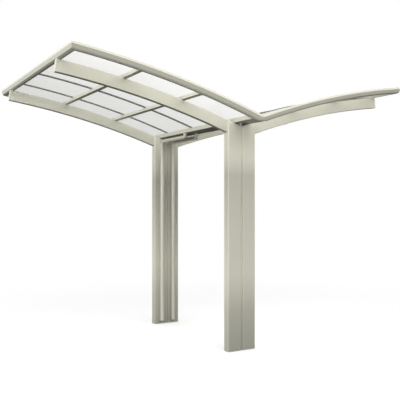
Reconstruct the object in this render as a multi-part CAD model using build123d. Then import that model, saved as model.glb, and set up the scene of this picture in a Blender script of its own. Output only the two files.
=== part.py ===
from build123d import *
import os
from math import asin, cos, degrees, hypot, radians, sin, sqrt

# A back-to-back cantilever carport: two pairs of posts, four curved beams and two curved
# wings of frosted sheets that slope down to a double gutter in the middle.
# All sizes are in millimetres. X runs across the wings, Y along the gutters, Z is up,
# and the origin lies on the ground in the middle between the four posts.

# Roof outline. The arc is the underside of the roof frames and the top of the beams.
roof_length = 2430.0
roof_half_width = 1893.0
arc_valley_height = 2262.0
arc_tip_height = 2722.0
arc_radius = 8787.0
valley_gap = 3.0
valley_flat_rise = 21.0

# Posts stand in pairs, back to back, with a narrow joiner between them.
post_width = 158.0
post_depth = 86.0
post_wall = 3.0
post_web = 3.0
post_corner = 14.0
post_pair_gap = 14.0
post_inset = 392.5
joiner_recess = 15.0
joiner_wall = 2.0
joiner_corner = 2.5

# Beams.
beam_depth = 116.0
beam_width = 50.0
beam_wall = 3.0
beam_corner = 5.0
beam_overhang = 9.0
cap_thickness = 5.0
cap_plug_length = 25.0
cap_plug_wall = 2.5
cap_plug_clearance = 0.3
cap_chamfer = 2.0

# Perimeter frames. The outer face leans out from its foot to the start of an upright lip.
frame_width = 36.0
frame_height = 64.0
frame_box_height = 46.0
frame_wall = 2.5
frame_flare = 13.5
frame_lip_start = 44.0
frame_lip_back = 8.0
frame_edge_chamfer = 1.5
frame_foot_chamfer = 11.0

# Glazing.
panel_thickness = 2.5
panel_clearance = 0.3
groove_depth = 12.0
groove_end_gap = 1.0

# Rafters carry the long edges of the sheets.
rafter_width = 30.0
rafter_wall = 2.0
rafter_bar_height = 8.0
rafter_web = 6.0
rafter_cap_height = 8.0
rafter_cap_chamfer = 2.0
sheets_per_wing = 4

# Purlins.
purlin_width = 36.0
purlin_wall = 2.0
purlin_corner = 2.0
purlin_pitch = 604.0

# Gutters.
gutter_width = 101.5
gutter_end_depth = 6.6
gutter_wall = 2.5
gutter_ledge = 18.0
post_top_clearance = 0.5

# Drain pipes.
pipe_diameter = 44.0
pipe_wall = 2.0
socket_wall = 2.4
socket_length = 22.0
socket_clearance = 0.2
pipe_offset_x = 76.0
outlet_y = 174.0
pipe_axis_drop = 43.0
elbow_radius = 30.0
outlet_flange_width = 2.0
outlet_flange_thickness = 2.5
pipe_post_clearance = 0.3
downpipe_foot_gap = 42.0

# Values that follow from the sizes above.
chord_length = hypot(roof_half_width, arc_tip_height - arc_valley_height)
chord_sag_length = sqrt(arc_radius**2 - (chord_length / 2) ** 2)
chord_slope_x = roof_half_width / chord_length
chord_slope_z = (arc_tip_height - arc_valley_height) / chord_length
arc_center_x = roof_half_width / 2 + chord_slope_z * chord_sag_length
arc_center_z = (arc_valley_height + arc_tip_height) / 2 - chord_slope_x * chord_sag_length

post_spacing = roof_length - 2 * post_inset
post_outer_x = post_pair_gap / 2 + post_width
post_center_x = (post_pair_gap + post_width) / 2
post_face_y = post_spacing / 2 - post_depth / 2
frame_inner_y = roof_length / 2 - frame_width
valley_flat_height = arc_valley_height + valley_flat_rise
frame_center_x = roof_half_width - frame_width / 2
panel_floor = frame_box_height + panel_clearance
groove_height = panel_thickness + 2 * panel_clearance
purlin_height = frame_box_height - rafter_bar_height - panel_clearance
rafter_pitch = 2 * frame_inner_y / sheets_per_wing
gutter_outer_x = valley_gap / 2 + gutter_width
gutter_rim_rise = purlin_height
pipe_center_y = post_face_y - pipe_post_clearance - pipe_diameter / 2 - socket_wall - socket_clearance
arc_axis = Axis((arc_center_x, 0, arc_center_z), (0, 1, 0))
cut_reach = roof_half_width + roof_length
cut_height = 2 * arc_tip_height


def arc_angle(x):
    """Turn, in degrees about the arc's axis, from the top of its circle to the place x."""
    return -degrees(asin((arc_center_x - x) / arc_radius))


def arc_height(x, rise=0.0):
    """Height of the roof arc at x, or of the arc that lies rise above it."""
    return arc_center_z + sqrt((arc_radius + rise) ** 2 - (arc_center_x - x) ** 2)


gutter_end_top = arc_height(valley_gap / 2, gutter_rim_rise)
gutter_floor_height = gutter_end_top - gutter_end_depth
pipe_axis_height = gutter_floor_height - pipe_axis_drop


def bend(section, x_start, x_end):
    """Bend a section, drawn as (y, height above the arc), along the roof arc."""
    start_turn = arc_angle(x_start)
    plane = Plane(origin=(arc_center_x, 0, arc_center_z), x_dir=(0, 1, 0), z_dir=(1, 0, 0))
    face = plane * Pos(0, arc_radius) * section
    face = face.rotate(arc_axis, start_turn)
    return revolve(face, arc_axis, arc_angle(x_end) - start_turn)


def frame_inner_x():
    """Where the front frame's inner face meets the level of the sheets."""
    turn = radians(arc_angle(frame_center_x))
    return frame_center_x - frame_width / 2 * cos(turn) + frame_box_height * sin(turn)


def lay_on_arc(section, x_center, length):
    """Draw a section as (x, height) with its foot on the arc at x_center and run it along Y."""
    tilt = -arc_angle(x_center)
    place = Pos(x_center, 0, arc_height(x_center)) * Rot(0, -tilt, 0)
    return place * extrude(Plane.XZ * section, length / 2, both=True)


def box_between(x_range, y_range, z_range):
    """A box given by its limits."""
    corner = Pos(x_range[0], y_range[0], z_range[0])
    size = (x_range[1] - x_range[0], y_range[1] - y_range[0], z_range[1] - z_range[0])
    return corner * Box(*size, align=(Align.MIN, Align.MIN, Align.MIN))


def rounded_tube_section(width, height, wall, corner):
    """A hollow box section, centred on the origin, with its inner corners set by the wall."""
    outer = RectangleRounded(width, height, corner)
    inner_size = (width - 2 * wall, height - 2 * wall)
    if corner > wall:
        return outer - RectangleRounded(*inner_size, corner - wall)
    return outer - Rectangle(*inner_size)


def post_tops():
    """The space above one right-hand post: the gutter's bed and the rise beside it."""
    bed_x = gutter_outer_x + post_top_clearance
    bed_heights = (gutter_floor_height, cut_height)
    bed = box_between((-post_outer_x, bed_x), (-post_depth, post_depth), bed_heights)
    above_arc = Rectangle(2 * post_depth, cut_height, align=(Align.CENTER, Align.MIN))
    return bed + bend(above_arc, 0, post_outer_x + post_width)


def make_post():
    """One hollow post with its middle web, on the right, centred on Y."""
    section = rounded_tube_section(post_width, post_depth, post_wall, post_corner)
    section += Rectangle(post_width - post_wall, post_web)
    height = arc_height(post_outer_x) + post_wall
    return Pos(post_center_x, 0, 0) * extrude(section, height) - post_tops()


def make_joiner():
    """The strip that closes the joint of a pair of posts."""
    depth = post_depth - 2 * joiner_recess
    section = rounded_tube_section(post_pair_gap, depth, joiner_wall, joiner_corner)
    return extrude(section, gutter_floor_height)


def beam_profile():
    """The beam's outline, with its top edge on the arc."""
    return Pos(0, -beam_depth / 2) * RectangleRounded(beam_width, beam_depth, beam_corner)


def make_beam():
    """One curved hollow beam on the right, from the post's side to its end cap."""
    tube = rounded_tube_section(beam_width, beam_depth, beam_wall, beam_corner)
    section = Pos(0, -beam_depth / 2) * tube
    beam = bend(section, 0, roof_half_width + beam_overhang - cap_thickness)
    return beam - box_between((-post_outer_x, post_outer_x), (-beam_width, beam_width), (0, cut_height))


def make_beam_cap():
    """The cap that plugs the beam's end, with softened outer edges."""
    tip_x = roof_half_width + beam_overhang
    plate = bend(beam_profile(), tip_x - cap_thickness, tip_x)
    outer_face = plate.faces().sort_by(Axis.X)[-1]
    plate = chamfer(outer_face.edges(), cap_chamfer)
    inset = 2 * (beam_wall + cap_plug_clearance)
    plug = rounded_tube_section(beam_width - inset, beam_depth - inset, cap_plug_wall, beam_corner - beam_wall)
    plug_end_x = tip_x - cap_thickness
    return plate + bend(Pos(0, -beam_depth / 2) * plug, plug_end_x - cap_plug_length, plug_end_x)


def frame_section():
    """Perimeter frame: a flared hollow box with a hollow lip and a groove for the sheets.

    The outer face's foot lies at 0 and the inner face at the frame's width.
    """
    lip_inner = frame_width - frame_lip_back
    outline = Polyline(
        (0, 0),
        (frame_width, 0),
        (frame_width, frame_box_height),
        (lip_inner, frame_box_height),
        (lip_inner, frame_height),
        (-frame_flare, frame_height),
        (-frame_flare, frame_lip_start),
        close=True,
    )
    foot, inner_foot = make_face(outline).vertices().group_by(Axis.Y)[0].sort_by(Axis.X)
    solid = chamfer(inner_foot, frame_edge_chamfer)
    solid = chamfer(solid.vertices().sort_by_distance(foot)[0], frame_foot_chamfer)
    solid = chamfer(solid.vertices().group_by(Axis.Y)[-1], frame_edge_chamfer)
    groove_inner = frame_width - groove_depth
    groove = Pos(groove_inner, frame_box_height) * Rectangle(
        groove_depth, groove_height, align=(Align.MIN, Align.MIN)
    )
    lean = frame_flare / frame_lip_start
    leaning_wall = frame_wall * hypot(1, lean)
    chamber_top = frame_box_height - frame_wall
    chamber_outline = Polyline(
        (leaning_wall - lean * frame_wall, frame_wall),
        (frame_width - frame_wall, frame_wall),
        (frame_width - frame_wall, chamber_top),
        (leaning_wall - lean * chamber_top, chamber_top),
        close=True,
    )
    chamber = make_face(chamber_outline)
    chamber_foot = chamber.vertices().sort_by_distance(foot)[0]
    chamber = chamfer(chamber_foot, frame_foot_chamfer - frame_wall / 2)
    lip_chamber = Pos(frame_wall - frame_flare, frame_box_height) * Rectangle(
        groove_inner + frame_flare - 2 * frame_wall,
        frame_height - frame_box_height - frame_wall,
        align=(Align.MIN, Align.MIN),
    )
    return solid - groove - chamber - lip_chamber


def mitre_tool():
    """The half space beyond the 45 degree mitre at the near right roof corner, square to the arc."""
    tilt = Rot(0, arc_angle(frame_center_x), 0)
    place = Pos(roof_half_width, -roof_length / 2, arc_tip_height) * tilt
    corners = ((cut_reach, -cut_reach), (cut_reach, cut_reach), (-cut_reach, cut_reach))
    return place * extrude(make_face(Polyline(*corners, close=True)), cut_height, both=True)


def make_side_frame():
    """Near right side frame, from the valley to its mitred front corner."""
    section = Pos(-roof_length / 2, 0) * frame_section()
    frame = bend(section, 0, roof_half_width + frame_width + frame_flare)
    inner_x = valley_gap / 2
    valley_side = box_between((-roof_half_width, inner_x), (-roof_length, 0), (0, cut_height))
    low_part = box_between((0, post_outer_x), (-roof_length, 0), (0, valley_flat_height))
    return frame - valley_side - low_part - mitre_tool()


def make_front_frame():
    """Right front frame along the wing's high edge, mitred at both ends."""
    section = Pos(frame_width / 2, 0) * mirror(frame_section(), Plane.YZ)
    frame = lay_on_arc(section, frame_center_x, roof_length + 2 * frame_width)
    far_corner = mirror(mitre_tool(), Plane.XZ)
    return frame & (mitre_tool() & far_corner)


def make_purlin(x_center):
    """One straight purlin that rests on the beams and carries the rafters."""
    tube = rounded_tube_section(purlin_width, purlin_height, purlin_wall, purlin_corner)
    return lay_on_arc(Pos(0, purlin_height / 2) * tube, x_center, 2 * frame_inner_y)


def make_rafter():
    """One curved rafter: a hollow bar, and a web and cap that groove it for the sheets."""
    bar_bottom = frame_box_height - rafter_bar_height
    cap_bottom = frame_box_height + groove_height
    low = (Align.CENTER, Align.MIN)
    bar = Pos(0, bar_bottom) * Rectangle(rafter_width, rafter_bar_height, align=low)
    chamber_size = (rafter_width - 2 * rafter_wall, rafter_bar_height - 2 * rafter_wall)
    bar -= Pos(0, bar_bottom + rafter_wall) * Rectangle(*chamber_size, align=low)
    web = Pos(0, frame_box_height) * Rectangle(rafter_web, groove_height, align=low)
    cap = Pos(0, cap_bottom) * Rectangle(rafter_width, rafter_cap_height, align=low)
    cap = chamfer(cap.vertices().group_by(Axis.Y)[-1], rafter_cap_chamfer)
    inner_x = gutter_outer_x - gutter_ledge
    return bend(bar + web + cap, inner_x, frame_inner_x() - panel_clearance)


def make_panel(y_start, y_end):
    """One curved sheet between two Y places, with its front end in the front frame."""
    section = Pos((y_start + y_end) / 2, panel_floor) * Rectangle(
        y_end - y_start, panel_thickness, align=(Align.CENTER, Align.MIN)
    )
    return bend(section, gutter_outer_x - gutter_ledge - panel_thickness, frame_inner_x() + groove_depth / 2)


def gutter_section():
    """The right gutter's channel, drawn as (x, height)."""
    inner_x = valley_gap / 2
    ledge_inner_x = gutter_outer_x - gutter_ledge
    wall_inner_x = gutter_outer_x - gutter_wall
    ledge_under_rise = gutter_rim_rise - gutter_wall
    floor = gutter_floor_height
    back_top = arc_valley_height + frame_height - gutter_wall
    outline = Polyline(
        (inner_x, floor),
        (gutter_outer_x, floor),
        (gutter_outer_x, arc_height(gutter_outer_x, gutter_rim_rise)),
        (ledge_inner_x, arc_height(ledge_inner_x, gutter_rim_rise)),
        (ledge_inner_x, arc_height(ledge_inner_x, ledge_under_rise)),
        (wall_inner_x, arc_height(wall_inner_x, ledge_under_rise)),
        (wall_inner_x, floor + gutter_wall),
        (inner_x + gutter_wall, floor + gutter_wall),
        (inner_x + gutter_wall, back_top),
        (inner_x, back_top),
        close=True,
    )
    return make_face(outline)


def make_gutter():
    """Right gutter with closed ends and the hole of its drain outlet."""
    channel = extrude(Plane.XZ * gutter_section(), frame_inner_y, both=True)
    end_plate = box_between(
        (valley_gap / 2, gutter_outer_x - gutter_wall),
        (-frame_inner_y, -frame_inner_y + gutter_wall),
        (gutter_floor_height, gutter_end_top),
    )
    gutter = channel + end_plate + mirror(end_plate, Plane.XZ)
    hole = Cylinder(pipe_diameter / 2 + socket_clearance, 4 * gutter_wall)
    return gutter - Pos(pipe_offset_x, outlet_y, gutter_floor_height) * hole


def tube_along(path, radius, wall):
    """A round tube along a path of straight runs and tangent arcs."""
    plane = Plane(origin=path @ 0, z_dir=path % 0)
    return sweep(plane * (Circle(radius) - Circle(radius - wall)), path)


def make_drain_run():
    """Drain outlet, elbow and level pipe under the right gutter, towards the far posts."""
    x = pipe_offset_x
    z = pipe_axis_height
    top_z = gutter_floor_height + gutter_wall
    path = FilletPolyline(
        (x, outlet_y, top_z), (x, outlet_y, z), (x, pipe_center_y - elbow_radius, z), radius=elbow_radius
    )
    tube = tube_along(path, pipe_diameter / 2, pipe_wall)
    flange_disc = Circle(pipe_diameter / 2 + outlet_flange_width) - Circle(pipe_diameter / 2 - pipe_wall)
    flange = Pos(x, outlet_y, top_z) * extrude(flange_disc, outlet_flange_thickness)
    return tube + flange


def make_downpipe():
    """Lower elbow with its socket, and the upright pipe down the far right post."""
    x = pipe_offset_x
    z = pipe_axis_height
    socket_radius = pipe_diameter / 2 + socket_clearance + socket_wall
    elbow_path = FilletPolyline(
        (x, pipe_center_y - elbow_radius - socket_length, z),
        (x, pipe_center_y, z),
        (x, pipe_center_y, z - elbow_radius - socket_length),
        radius=elbow_radius,
    )
    elbow = tube_along(elbow_path, socket_radius, socket_wall)
    foot_z = downpipe_foot_gap
    pipe_disc = Circle(pipe_diameter / 2 + socket_clearance) - Circle(pipe_diameter / 2 - pipe_wall)
    pipe = Pos(x, pipe_center_y, foot_z) * extrude(pipe_disc, z - elbow_radius - foot_z)
    return elbow + pipe


def both_wings(name, shape, pieces):
    """Keep a right-hand shape and its mirror image on the left."""
    pieces[f"{name}_right"] = shape
    pieces[f"{name}_left"] = mirror(shape, Plane.YZ)


def build_pieces():
    """All sub-parts by name."""
    pieces = {}
    near = Pos(0, -post_spacing / 2, 0)
    far = Pos(0, post_spacing / 2, 0)
    for end, place in (("near", near), ("far", far)):
        both_wings(f"post_{end}", place * make_post(), pieces)
        both_wings(f"beam_{end}", place * make_beam(), pieces)
        both_wings(f"beam_cap_{end}", place * make_beam_cap(), pieces)
        pieces[f"post_joiner_{end}"] = place * make_joiner()
    side_frame = make_side_frame()
    both_wings("side_frame_near", side_frame, pieces)
    both_wings("side_frame_far", mirror(side_frame, Plane.XZ), pieces)
    both_wings("front_frame", make_front_frame(), pieces)
    both_wings("gutter", make_gutter(), pieces)
    both_wings("purlin_outer", make_purlin(frame_center_x - purlin_pitch), pieces)
    both_wings("purlin_inner", make_purlin(frame_center_x - 2 * purlin_pitch), pieces)
    rafter = make_rafter()
    edge_y = frame_inner_y + groove_depth - groove_end_gap
    rafter_edge = rafter_web / 2 + groove_end_gap
    rafter_places = [rafter_pitch * number - frame_inner_y for number in range(1, sheets_per_wing)]
    for number, rafter_y in enumerate(rafter_places, start=1):
        both_wings(f"rafter_{number}", Pos(0, rafter_y, 0) * rafter, pieces)
    sheet_starts = [-edge_y] + [rafter_y + rafter_edge for rafter_y in rafter_places]
    sheet_ends = [rafter_y - rafter_edge for rafter_y in rafter_places] + [edge_y]
    for number, limits in enumerate(zip(sheet_starts, sheet_ends), start=1):
        both_wings(f"panel_{number}", make_panel(*limits), pieces)
    both_wings("drain_run", make_drain_run(), pieces)
    both_wings("downpipe", make_downpipe(), pieces)
    return pieces


os.makedirs("parts", exist_ok=True)
for piece_name, piece in build_pieces().items():
    export_step(piece, f"parts/{piece_name}.step")
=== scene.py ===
from math import asin, cos, hypot, pi, radians, sin, sqrt

import bmesh
import bpy
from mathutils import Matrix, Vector


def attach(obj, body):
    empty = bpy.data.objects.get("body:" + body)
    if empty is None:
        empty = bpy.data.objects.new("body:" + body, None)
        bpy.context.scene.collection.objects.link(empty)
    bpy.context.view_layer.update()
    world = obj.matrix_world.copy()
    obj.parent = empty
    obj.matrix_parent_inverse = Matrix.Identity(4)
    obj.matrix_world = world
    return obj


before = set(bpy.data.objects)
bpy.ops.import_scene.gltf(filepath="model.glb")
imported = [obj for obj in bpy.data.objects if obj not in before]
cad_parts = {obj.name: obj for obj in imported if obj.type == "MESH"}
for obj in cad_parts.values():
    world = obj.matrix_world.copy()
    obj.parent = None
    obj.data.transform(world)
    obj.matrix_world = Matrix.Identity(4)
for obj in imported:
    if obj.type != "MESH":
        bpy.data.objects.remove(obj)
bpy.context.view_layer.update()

# The carport's own measures, in metres, where the finishes and trims need them.
ARC_RADIUS = 8.787
WING_WIDTH = 1.893
VALLEY_HEIGHT = 2.262
TIP_HEIGHT = 2.722
CHORD = hypot(WING_WIDTH, TIP_HEIGHT - VALLEY_HEIGHT)
ARC_SAG = sqrt(ARC_RADIUS ** 2 - (CHORD / 2) ** 2)
ARC_X = WING_WIDTH / 2 + (TIP_HEIGHT - VALLEY_HEIGHT) / CHORD * ARC_SAG
ARC_Z = (VALLEY_HEIGHT + TIP_HEIGHT) / 2 - WING_WIDTH / CHORD * ARC_SAG
SHEET_UNDERSIDE = 0.0463
SHEET_TOP = 0.0488
SHEET_START = 0.070
FRAME_INNER_X = 1.8515
FRAME_INNER_Y = 1.179
RAFTER_PLACES = (-0.5895, 0.0, 0.5895)
RAFTER_HALF = 0.015
POST_FACE_X = 0.165
POST_ROW = 0.8225
POST_HEIGHT = 2.32

# The rubber seals: each bites a little into its bar and stands just clear of the sheet.
SEAL_BITE = 0.0003
SEAL_CLEARANCE = 0.0001
SEAL_STEPS = 48
RAFTER_SEAL_OUT_BELOW = 0.003
RAFTER_SEAL_OUT_ABOVE = 0.0028
RAFTER_SEAL_DEPTH = 0.0022
RAFTER_SEAL_HEIGHT = 0.0064
FRAME_SEAL_OUT = 0.0028
FRAME_SEAL_DEPTH = 0.0024

# The cover plugs: (out, radius) pairs from inside the post to the rounded face.
PLUG_HEIGHT = 2.139
PLUG_PROFILE = ((-0.002, 0.0098), (0.0, 0.0103), (0.0012, 0.0103), (0.0020, 0.0097), (0.0024, 0.0086))
PLUG_SIDES = 40

# Tones are (place, level) pairs that paint shade and light into the colour. Two darken a face by how far it
# looks down, and the last runs up the posts with painted shade low down, a painted reflection band and
# painted light at the top.
ARC_PAINTED_SHADE_TONES = ((0.0, 1.0), (0.22, 0.60), (0.5, 0.74), (0.86, 0.98), (0.92, 0.98), (0.96, 0.47))
DOWNWARD_PAINTED_SHADE_TONES = ((0.0, 1.0), (0.22, 0.68), (0.6, 0.52), (0.93, 0.50))
POST_PAINTED_LIGHT_TONES = (
    (0.0, 0.66), (0.177, 0.77), (0.254, 0.90), (0.33, 0.97), (0.60, 0.74),
    (0.763, 0.62), (0.836, 0.84), (0.914, 1.02), (0.99, 1.20),
)

CHAMPAGNE = (0.635, 0.625, 0.520)
CHAMPAGNE_PALE = (0.700, 0.692, 0.590)
# Painted shade: the rafters are coloured a dark grey for the shade on their undersides.
RAFTER_SHADE_GREY = (0.330, 0.325, 0.280)
RAFTER_SHADE_GREY_PALE = (0.370, 0.364, 0.316)
# Painted highlight: the joint between the post halves is coloured pale, like light caught on the rounded
# post corners.
JOINT_PAINTED_HIGHLIGHT = (0.900, 0.890, 0.780)
DRAIN_CREAM = (0.660, 0.650, 0.560)
CAP_CREAM = (0.640, 0.625, 0.530)
RUBBER_BLACK = (0.035, 0.034, 0.032)
SHEET_WHITE = (0.890, 0.890, 0.875)
SHEET_WHITEST = (0.930, 0.935, 0.930)
SHEET_PASSING = (0.685, 0.687, 0.677)
SHEET_PASSING_PALE = (0.725, 0.727, 0.719)
SHEET_SHADOW = (0.860, 0.860, 0.850)
# The share of light that a sheet passes, by how far the face looks up.
SHEET_SHARES = ((0.0, 0.93), (0.2, 0.74))

DIE_STRETCH = 0.004
DIE_LINE_SCALE = 900.0
DIE_BAND_SCALE = 90.0
COAT_CLOUD_SCALE = 1.6
COAT_SPECKLE_SCALE = 2600.0
SHEET_CLOUD_SCALE = 2.2
FROST_SCALE = 1800.0
PLASTIC_CLOUD_SCALE = 3.0
PLASTIC_PORE_SCALE = 1500.0

WHITE = (1.0, 1.0, 1.0)
FLOOR_HALF = 60.0
FLOOR_PAINT = (0.62, 0.62, 0.62)
FLOOR_GLOW = 0.31
FLOOR_BOUNCE = (0.06, 0.06, 0.055)
FLOOR_REACH = 10
FLOOR_FADE = ((0.20, 0.0), (0.55, 1.0))

# The surround: a ring of light whose peak, 30 degrees up, is 1 before its strength.
RING_SCALE = 16
RING_STRENGTH = 1.46
RING_LEAN = 0.25
SURROUND_LEAST = 0.25


class Value:
    """An output of a node that can be used in arithmetic: each operator adds its Math node."""

    def __init__(self, finish, socket):
        self.finish = finish
        self.socket = socket

    def math(self, operation, *others):
        return self.finish.node("Math", {"operation": operation}, dict(enumerate((self, *others))))

    def __add__(self, other):
        return self.math("ADD", other)

    __radd__ = __add__

    def __sub__(self, other):
        return self.math("SUBTRACT", other)

    def __rsub__(self, other):
        return self.finish.node("Math", {"operation": "SUBTRACT"}, {0: other, 1: self})

    def __mul__(self, other):
        return self.math("MULTIPLY", other)

    __rmul__ = __mul__

    def __truediv__(self, other):
        return self.math("DIVIDE", other)

    def __pow__(self, other):
        return self.math("POWER", other)


class Finish:
    """A material, or the world, whose nodes are added one by one."""

    def __init__(self, owner):
        owner.use_nodes = True
        self.owner = owner
        self.tree = owner.node_tree
        self.tree.nodes.clear()

    def node(self, kind, settings=None, inputs=None, output=0):
        """Add a node, set it up, feed its sockets with values or links, and return one output."""
        added = self.tree.nodes.new("ShaderNode" + kind)
        for name, setting in (settings or {}).items():
            if name == "stops":
                ramp = added.color_ramp
                while len(ramp.elements) < len(setting):
                    ramp.elements.new(1.0)
                for element, (place, colour) in zip(ramp.elements, setting):
                    element.position = place
                    element.color = (*colour, 1.0)
            else:
                setattr(added, name, setting)
        for name, given in (inputs or {}).items():
            socket = added.inputs[name]
            if isinstance(given, Value):
                self.tree.links.new(given.socket, socket)
            elif isinstance(given, tuple) and len(given) == 3 and len(socket.default_value) == 4:
                socket.default_value = (*given, 1.0)
            else:
                socket.default_value = given
        return Value(self, added.outputs[output]) if added.outputs else None

    def mix(self, factor, first, second):
        """Blend two colours."""
        sockets = {"Factor": factor, 6: first, 7: second}
        return self.node("Mix", {"data_type": "RGBA"}, sockets, 2)

    def ramp(self, place, tones):
        """A grey that runs through (place, level) pairs."""
        stops = [(stop, (level, level, level)) for stop, level in tones]
        return self.node("ValToRGB", {"stops": stops}, {0: place})

    def tone(self, colour, grey):
        """A colour multiplied by a grey."""
        sockets = {"Factor": 1.0, 6: colour, 7: grey}
        return self.node("Mix", {"data_type": "RGBA", "blend_type": "MULTIPLY"}, sockets, 2)

    def noise(self, place, scale, detail=2.0, roughness=0.5):
        """Even noise, about a half on average."""
        sockets = {"Vector": place, "Scale": scale, "Detail": detail, "Roughness": roughness}
        return self.node("TexNoise", inputs=sockets)

    def stretch(self, place, scales):
        """Scale a place by three factors."""
        return self.node("VectorMath", {"operation": "MULTIPLY"}, {0: place, 1: scales})

    def place(self):
        """The place of the shaded point in the carport's own frame."""
        return self.node("TexCoord", output=3)

    def facing(self):
        """How far the surface looks up: 1 straight up, and -1 straight down."""
        return self.node("SeparateXYZ", inputs={0: self.node("TexCoord", output=1)}, output=2)

    def output(self, shader, kind="OutputMaterial"):
        """Finish with the shader as the surface, or as the world's."""
        self.node(kind, inputs={"Surface": shader})


def grain_along(finish, run):
    """The place, stretched so that noise draws the lines that a die leaves along the run."""
    place = finish.place()
    if run == "upright":
        return finish.stretch(place, (1.0, 1.0, DIE_STRETCH))
    if run == "level":
        return finish.stretch(place, (1.0, DIE_STRETCH, 1.0))
    across_wings = finish.node("SeparateXYZ", inputs={0: place})
    along_gutters = finish.node("SeparateXYZ", inputs={0: place}, output=1)
    height = finish.node("SeparateXYZ", inputs={0: place}, output=2)
    from_axis_x = across_wings.math("ABSOLUTE") - ARC_X
    from_axis_z = height - ARC_Z
    radius = (from_axis_x * from_axis_x + from_axis_z * from_axis_z) ** 0.5
    return finish.node("CombineXYZ", inputs={0: radius, 1: along_gutters, 2: across_wings * DIE_STRETCH})


def coated_aluminium(name, run, tint=CHAMPAGNE, pale=CHAMPAGNE_PALE, roughness=0.40):
    """Satin coating on extruded aluminium, with faint die lines. Painted shade darkens its downward faces,
    and an upright run carries painted shade, a painted reflection band and painted light up its height."""
    finish = Finish(bpy.data.materials.new(name))
    place = finish.place()
    grain = grain_along(finish, run)
    lines = finish.noise(grain, DIE_LINE_SCALE, 3.0, 0.6)
    bands = finish.noise(grain, DIE_BAND_SCALE, 1.0)
    clouds = finish.noise(place, COAT_CLOUD_SCALE, 3.0)
    speckle = finish.noise(place, COAT_SPECKLE_SCALE, 1.0)
    blend = clouds * 0.55 + bands * 0.30 + lines * 0.15
    unshaded = finish.mix(blend, tint, pale)
    # Painted shade: the colour darkens as the face looks further down.
    downward = -1 * finish.facing()
    colour = finish.tone(unshaded, finish.ramp(downward, ARC_PAINTED_SHADE_TONES if run == "arc" else DOWNWARD_PAINTED_SHADE_TONES))
    # Painted shade low down, a painted reflection band near three quarters up, and painted light at the top
    # of an upright run.
    if run == "upright":
        height = finish.node("SeparateXYZ", inputs={0: place}, output=2)
        colour = finish.tone(colour, finish.ramp(height / POST_HEIGHT, POST_PAINTED_LIGHT_TONES))
    rough = roughness - 0.05 + clouds * 0.06 + lines * 0.04
    relief = lines * 0.5 + speckle * 0.5
    normal = finish.node("Bump", inputs={"Strength": 0.12, "Distance": 0.0002, "Height": relief})
    shader = finish.node("BsdfPrincipled", inputs={
        "Base Color": colour, "Roughness": rough, "Metallic": 0.05, "Normal": normal,
        "Specular IOR Level": 0.22})
    finish.output(shader)
    return finish.owner


def frosted_sheet():
    """Frosted polycarbonate: it passes soft light, and its upper face is whiter."""
    finish = Finish(bpy.data.materials.new("frosted_sheet"))
    place = finish.place()
    clouds = finish.noise(place, SHEET_CLOUD_SCALE, 2.0)
    frost = finish.noise(place, FROST_SCALE, 2.0, 0.7)
    colour = finish.mix(clouds, SHEET_WHITE, SHEET_WHITEST)
    normal = finish.node("Bump", inputs={"Strength": 0.15, "Distance": 0.0003, "Height": frost})
    shader = finish.node("BsdfPrincipled", inputs={
        "Base Color": colour, "Roughness": 0.5 + frost * 0.1, "Normal": normal,
        "IOR": 1.5, "Transmission Weight": 0.3, "Specular IOR Level": 0.3})
    light_through = finish.mix(clouds, SHEET_PASSING, SHEET_PASSING_PALE)
    passing = finish.node("BsdfTranslucent", inputs={"Color": light_through})
    share = finish.ramp(finish.facing(), SHEET_SHARES)
    frosted = finish.node("MixShader", inputs={0: share, 1: shader, 2: passing})
    clear = finish.node("BsdfTransparent", inputs={"Color": SHEET_SHADOW})
    shadow = finish.node("LightPath", output="Is Shadow Ray")
    finish.output(finish.node("MixShader", inputs={0: shadow, 1: frosted, 2: clear}))
    return finish.owner


def moulded_material(name, tint, roughness):
    """Satin plastic or rubber, with a fine grain."""
    finish = Finish(bpy.data.materials.new(name))
    place = finish.place()
    clouds = finish.noise(place, PLASTIC_CLOUD_SCALE, 3.0)
    pores = finish.noise(place, PLASTIC_PORE_SCALE, 2.0, 0.6)
    darker = tuple(0.93 * part for part in tint)
    colour = finish.mix(clouds * 0.8 + pores * 0.2, darker, tint)
    normal = finish.node("Bump", inputs={"Strength": 0.10, "Distance": 0.0002, "Height": pores})
    shader = finish.node("BsdfPrincipled", inputs={
        "Base Color": colour, "Roughness": roughness + clouds * 0.08, "Normal": normal})
    finish.output(shader)
    return finish.owner


RUNS = {
    "post": "upright", "gutter": "level", "purlin": "level", "front": "level",
    "beam": "arc", "side": "arc",
}
aluminium = {
    run: coated_aluminium(f"champagne_aluminium_{run}", run) for run in sorted(set(RUNS.values()))
}
# Painted highlight: the joint is given a pale colour for the light on the rounded corners beside it.
joint_highlight_finish = coated_aluminium("champagne_aluminium_joint_painted_highlight", "upright", JOINT_PAINTED_HIGHLIGHT, JOINT_PAINTED_HIGHLIGHT)
# Painted shade: the rafters' dark grey stands for the shade under them.
rafter_shade_finish = coated_aluminium("rafter_aluminium_painted_shade", "arc", RAFTER_SHADE_GREY, RAFTER_SHADE_GREY_PALE)
sheet_finish = frosted_sheet()
drain_plastic = moulded_material("drain_plastic", DRAIN_CREAM, 0.34)
cap_plastic = moulded_material("cap_plastic", CAP_CREAM, 0.42)
seal_rubber = moulded_material("seal_rubber", RUBBER_BLACK, 0.62)


def finish_of(node_name):
    """The finish of a CAD node, by the first words of its name."""
    if node_name.startswith("panel"):
        return sheet_finish
    if node_name.startswith(("drain_run", "downpipe")):
        return drain_plastic
    if node_name.startswith("beam_cap"):
        return cap_plastic
    if node_name.startswith("rafter"):
        return rafter_shade_finish
    if node_name.startswith("post_joiner"):
        return joint_highlight_finish
    return aluminium[RUNS[node_name.split("_")[0]]]


def dress_solids():
    for node_name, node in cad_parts.items():
        for slot in node.material_slots:
            slot.material = finish_of(node_name)


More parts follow.
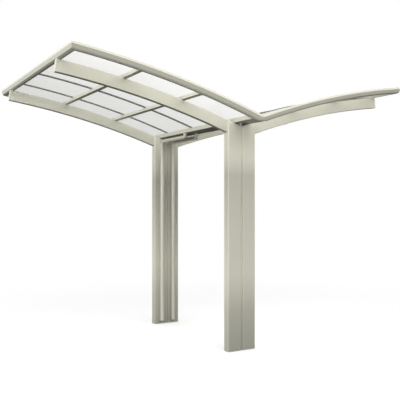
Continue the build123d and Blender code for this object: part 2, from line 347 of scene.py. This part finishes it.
def arc_point(side, x, y, rise):
    """A point of one wing: side is 1 on the right and -1 on the left, and rise is above the arc."""
    turn = asin((ARC_X - x) / ARC_RADIUS)
    reach = ARC_RADIUS + rise
    return Vector((side * (ARC_X - reach * sin(turn)), y, ARC_Z + reach * cos(turn)))


def sweep_rings(mesh, rings):
    """Join rings of points into a closed bar."""
    loops = [[mesh.verts.new(point) for point in ring] for ring in rings]
    for one, two in zip(loops, loops[1:]):
        for index in range(len(one)):
            after = (index + 1) % len(one)
            mesh.faces.new((one[index], one[after], two[after], two[index]))
    mesh.faces.new(loops[0][::-1])
    mesh.faces.new(loops[-1])


def finish_piece(name, mesh, material):
    """Turn mesh code into a piece that rides on the carport."""
    bmesh.ops.recalc_face_normals(mesh, faces=mesh.faces)
    data = bpy.data.meshes.new(name)
    mesh.to_mesh(data)
    mesh.free()
    data.materials.append(material)
    piece = bpy.data.objects.new(name, data)
    bpy.context.scene.collection.objects.link(piece)
    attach(piece, "root")


def seal_along_wing(mesh, side, y_edges, rises):
    """A rubber lip that follows the arc of one wing, between two places across and two rises."""
    low, high = rises
    near, far = y_edges
    corners = ((near, low), (far, low), (far, high), (near, high))
    rings = []
    for step in range(SEAL_STEPS + 1):
        x = SHEET_START + (FRAME_INNER_X - SHEET_START) * step / SEAL_STEPS
        rings.append([arc_point(side, x, y, rise) for y, rise in corners])
    sweep_rings(mesh, rings)


def seal_rafters(side, side_name):
    """The rubber lips that hold the sheets on the rafters, under the caps and on the bars."""
    below = (SHEET_UNDERSIDE - RAFTER_SEAL_DEPTH, SHEET_UNDERSIDE - SEAL_CLEARANCE)
    above = (SHEET_TOP + SEAL_CLEARANCE, SHEET_TOP + RAFTER_SEAL_HEIGHT)
    mesh = bmesh.new()
    for place in RAFTER_PLACES:
        for way in (-1, 1):
            edge = place + way * (RAFTER_HALF - SEAL_BITE)
            lower_lip = place + way * (RAFTER_HALF + RAFTER_SEAL_OUT_BELOW)
            upper_lip = place + way * (RAFTER_HALF + RAFTER_SEAL_OUT_ABOVE)
            seal_along_wing(mesh, side, (edge, lower_lip), below)
            seal_along_wing(mesh, side, (edge, upper_lip), above)
    finish_piece(f"rafter_seals_{side_name}", mesh, seal_rubber)


def seal_frames(side, side_name):
    """The rubber lips that hold the sheets in the grooves of the side and front frames."""
    below = (SHEET_UNDERSIDE - FRAME_SEAL_DEPTH, SHEET_UNDERSIDE - SEAL_CLEARANCE)
    above = (SHEET_TOP + SEAL_CLEARANCE, SHEET_TOP + FRAME_SEAL_DEPTH)
    lip_x = FRAME_INNER_X - FRAME_SEAL_OUT
    lip_y = FRAME_INNER_Y - FRAME_SEAL_OUT
    bitten_x = FRAME_INNER_X + SEAL_BITE
    bitten_y = FRAME_INNER_Y + SEAL_BITE
    mesh = bmesh.new()
    for low, high in (below, above):
        for way in (-1, 1):
            seal_along_wing(mesh, side, (way * lip_y, way * bitten_y), (low, high))
        corners = ((lip_x, low), (bitten_x, low), (bitten_x, high), (lip_x, high))
        rings = [[arc_point(side, x, y, rise) for x, rise in corners] for y in (-lip_y, lip_y)]
        sweep_rings(mesh, rings)
    finish_piece(f"frame_seals_{side_name}", mesh, seal_rubber)


def turned_head(mesh, centre, axis):
    """A round plug: its profile is turned about an axis and closed at both ends."""
    turn = axis.to_track_quat("Z", "Y").to_matrix().to_4x4()
    turn.translation = centre
    angles = [2 * pi * index / PLUG_SIDES for index in range(PLUG_SIDES)]
    rings = [[turn @ Vector((radius * cos(angle), radius * sin(angle), out)) for angle in angles]
             for out, radius in PLUG_PROFILE]
    sweep_rings(mesh, rings)


def plug_posts():
    """The round cover plugs over the bolts that hold the beams' roots in the posts."""
    for end_name, end in (("near", -1), ("far", 1)):
        for side_name, side in (("left", -1), ("right", 1)):
            mesh = bmesh.new()
            centre = Vector((side * POST_FACE_X, end * POST_ROW, PLUG_HEIGHT))
            turned_head(mesh, centre, Vector((side, 0.0, 0.0)))
            finish_piece(f"post_plug_{end_name}_{side_name}", mesh, cap_plastic)


def make_floor():
    """A plain pale floor. The camera sees it white, with a faint shadow near the carport and none far off,
    and bounced light sees it dim."""
    mesh = bmesh.new()
    bmesh.ops.create_grid(mesh, x_segments=2, y_segments=2, size=FLOOR_HALF)
    data = bpy.data.meshes.new("floor")
    mesh.to_mesh(data)
    mesh.free()
    floor = bpy.data.objects.new("floor", data)
    bpy.context.scene.collection.objects.link(floor)
    finish = Finish(bpy.data.materials.new("pale_floor"))
    camera = finish.node("LightPath")
    through = finish.node("LightPath", output="Is Transmission Ray")
    seen = camera.math("MAXIMUM", through)
    paint = finish.node("BsdfDiffuse", inputs={"Color": FLOOR_PAINT})
    glow = finish.node("Emission", inputs={"Color": WHITE, "Strength": FLOOR_GLOW})
    pale = finish.node("AddShader", inputs={0: paint, 1: glow})
    far_white = finish.node("Emission", inputs={"Color": WHITE, "Strength": 1.0})
    distance = finish.node("VectorMath", {"operation": "LENGTH"}, {0: finish.place()}, 1)
    share = finish.ramp(distance / FLOOR_REACH, FLOOR_FADE)
    fading = finish.node("MixShader", inputs={0: share, 1: pale, 2: far_white})
    dim = finish.node("BsdfDiffuse", inputs={"Color": FLOOR_BOUNCE})
    finish.output(finish.node("MixShader", inputs={0: seen, 1: dim, 2: fading}))
    finish.owner.cycles.emission_sampling = "NONE"
    data.materials.append(finish.owner)


def seen_directly(finish):
    """1 for rays from the camera, in gloss and through clear pieces, and else 0."""
    camera = finish.node("LightPath")
    glossy = finish.node("LightPath", output="Is Glossy Ray")
    through = finish.node("LightPath", output="Is Transmission Ray")
    return camera.math("MAXIMUM", glossy).math("MAXIMUM", through)


def light_world():
    """A white surround that lights most from 30 degrees up, and a little more from the left."""
    finish = Finish(bpy.context.scene.world or bpy.data.worlds.new("studio"))
    bpy.context.scene.world = finish.owner
    direction = finish.node("TexCoord")
    side = finish.node("SeparateXYZ", inputs={0: direction})
    height = finish.node("SeparateXYZ", inputs={0: direction}, output=2).math("MAXIMUM", 0.0)
    ring = RING_SCALE * height * height * (1 - height) * (1 - height)
    strength = RING_STRENGTH * ring * (1 - RING_LEAN * side) + SURROUND_LEAST
    studio = finish.node("Background", inputs={"Color": WHITE, "Strength": strength})
    white = finish.node("Background", inputs={"Color": WHITE, "Strength": 1.0})
    surround = finish.node("MixShader", inputs={0: seen_directly(finish), 1: studio, 2: white})
    finish.output(surround, "OutputWorld")


def add_lamp(name, place, target, size, power, spread=180.0):
    """A soft rectangular lamp that the camera doesn't see; its power is in watts, its spread in degrees."""
    lamp = bpy.data.lights.new(name, "AREA")
    lamp.spread = radians(spread)
    lamp.shape = "RECTANGLE"
    lamp.size, lamp.size_y = size
    lamp.energy = power
    holder = bpy.data.objects.new(name, lamp)
    holder.location = place
    holder.rotation_euler = (Vector(target) - Vector(place)).to_track_quat("-Z", "Y").to_euler()
    holder.visible_camera = False
    bpy.context.scene.collection.objects.link(holder)


def set_camera():
    """The photograph's viewpoint: eye height, and turned to the right of the gutters' direction."""
    camera = bpy.data.cameras.new("camera")
    camera.sensor_width = 36.0
    camera.lens = 54.08
    camera.shift_y = 0.0109
    holder = bpy.data.objects.new("camera", camera)
    holder.location = (-3.463, -5.874, 1.476)
    holder.rotation_euler = (radians(90.0), 0.0, radians(-30.662))
    bpy.context.scene.collection.objects.link(holder)
    bpy.context.scene.camera = holder


dress_solids()
for wing_name, wing in (("left", -1), ("right", 1)):
    seal_rafters(wing, wing_name)
    seal_frames(wing, wing_name)
plug_posts()
make_floor()
light_world()
add_lamp("left_panel", (-7.0, -0.8, 1.9), (0.0, 0.0, 2.2), (5.0, 1.0), 185.0)
add_lamp("front_low", (-1.5, -7.0, 1.2), (0.0, -0.8, 2.35), (4.0, 0.5), 8.0, 40.0)
add_lamp("front_strip", (0.2, -3.0, 4.0), (0.2, -0.8, 1.8), (6.5, 0.8), 62.0)
set_camera()
bpy.context.scene.view_settings.view_transform = "Standard"
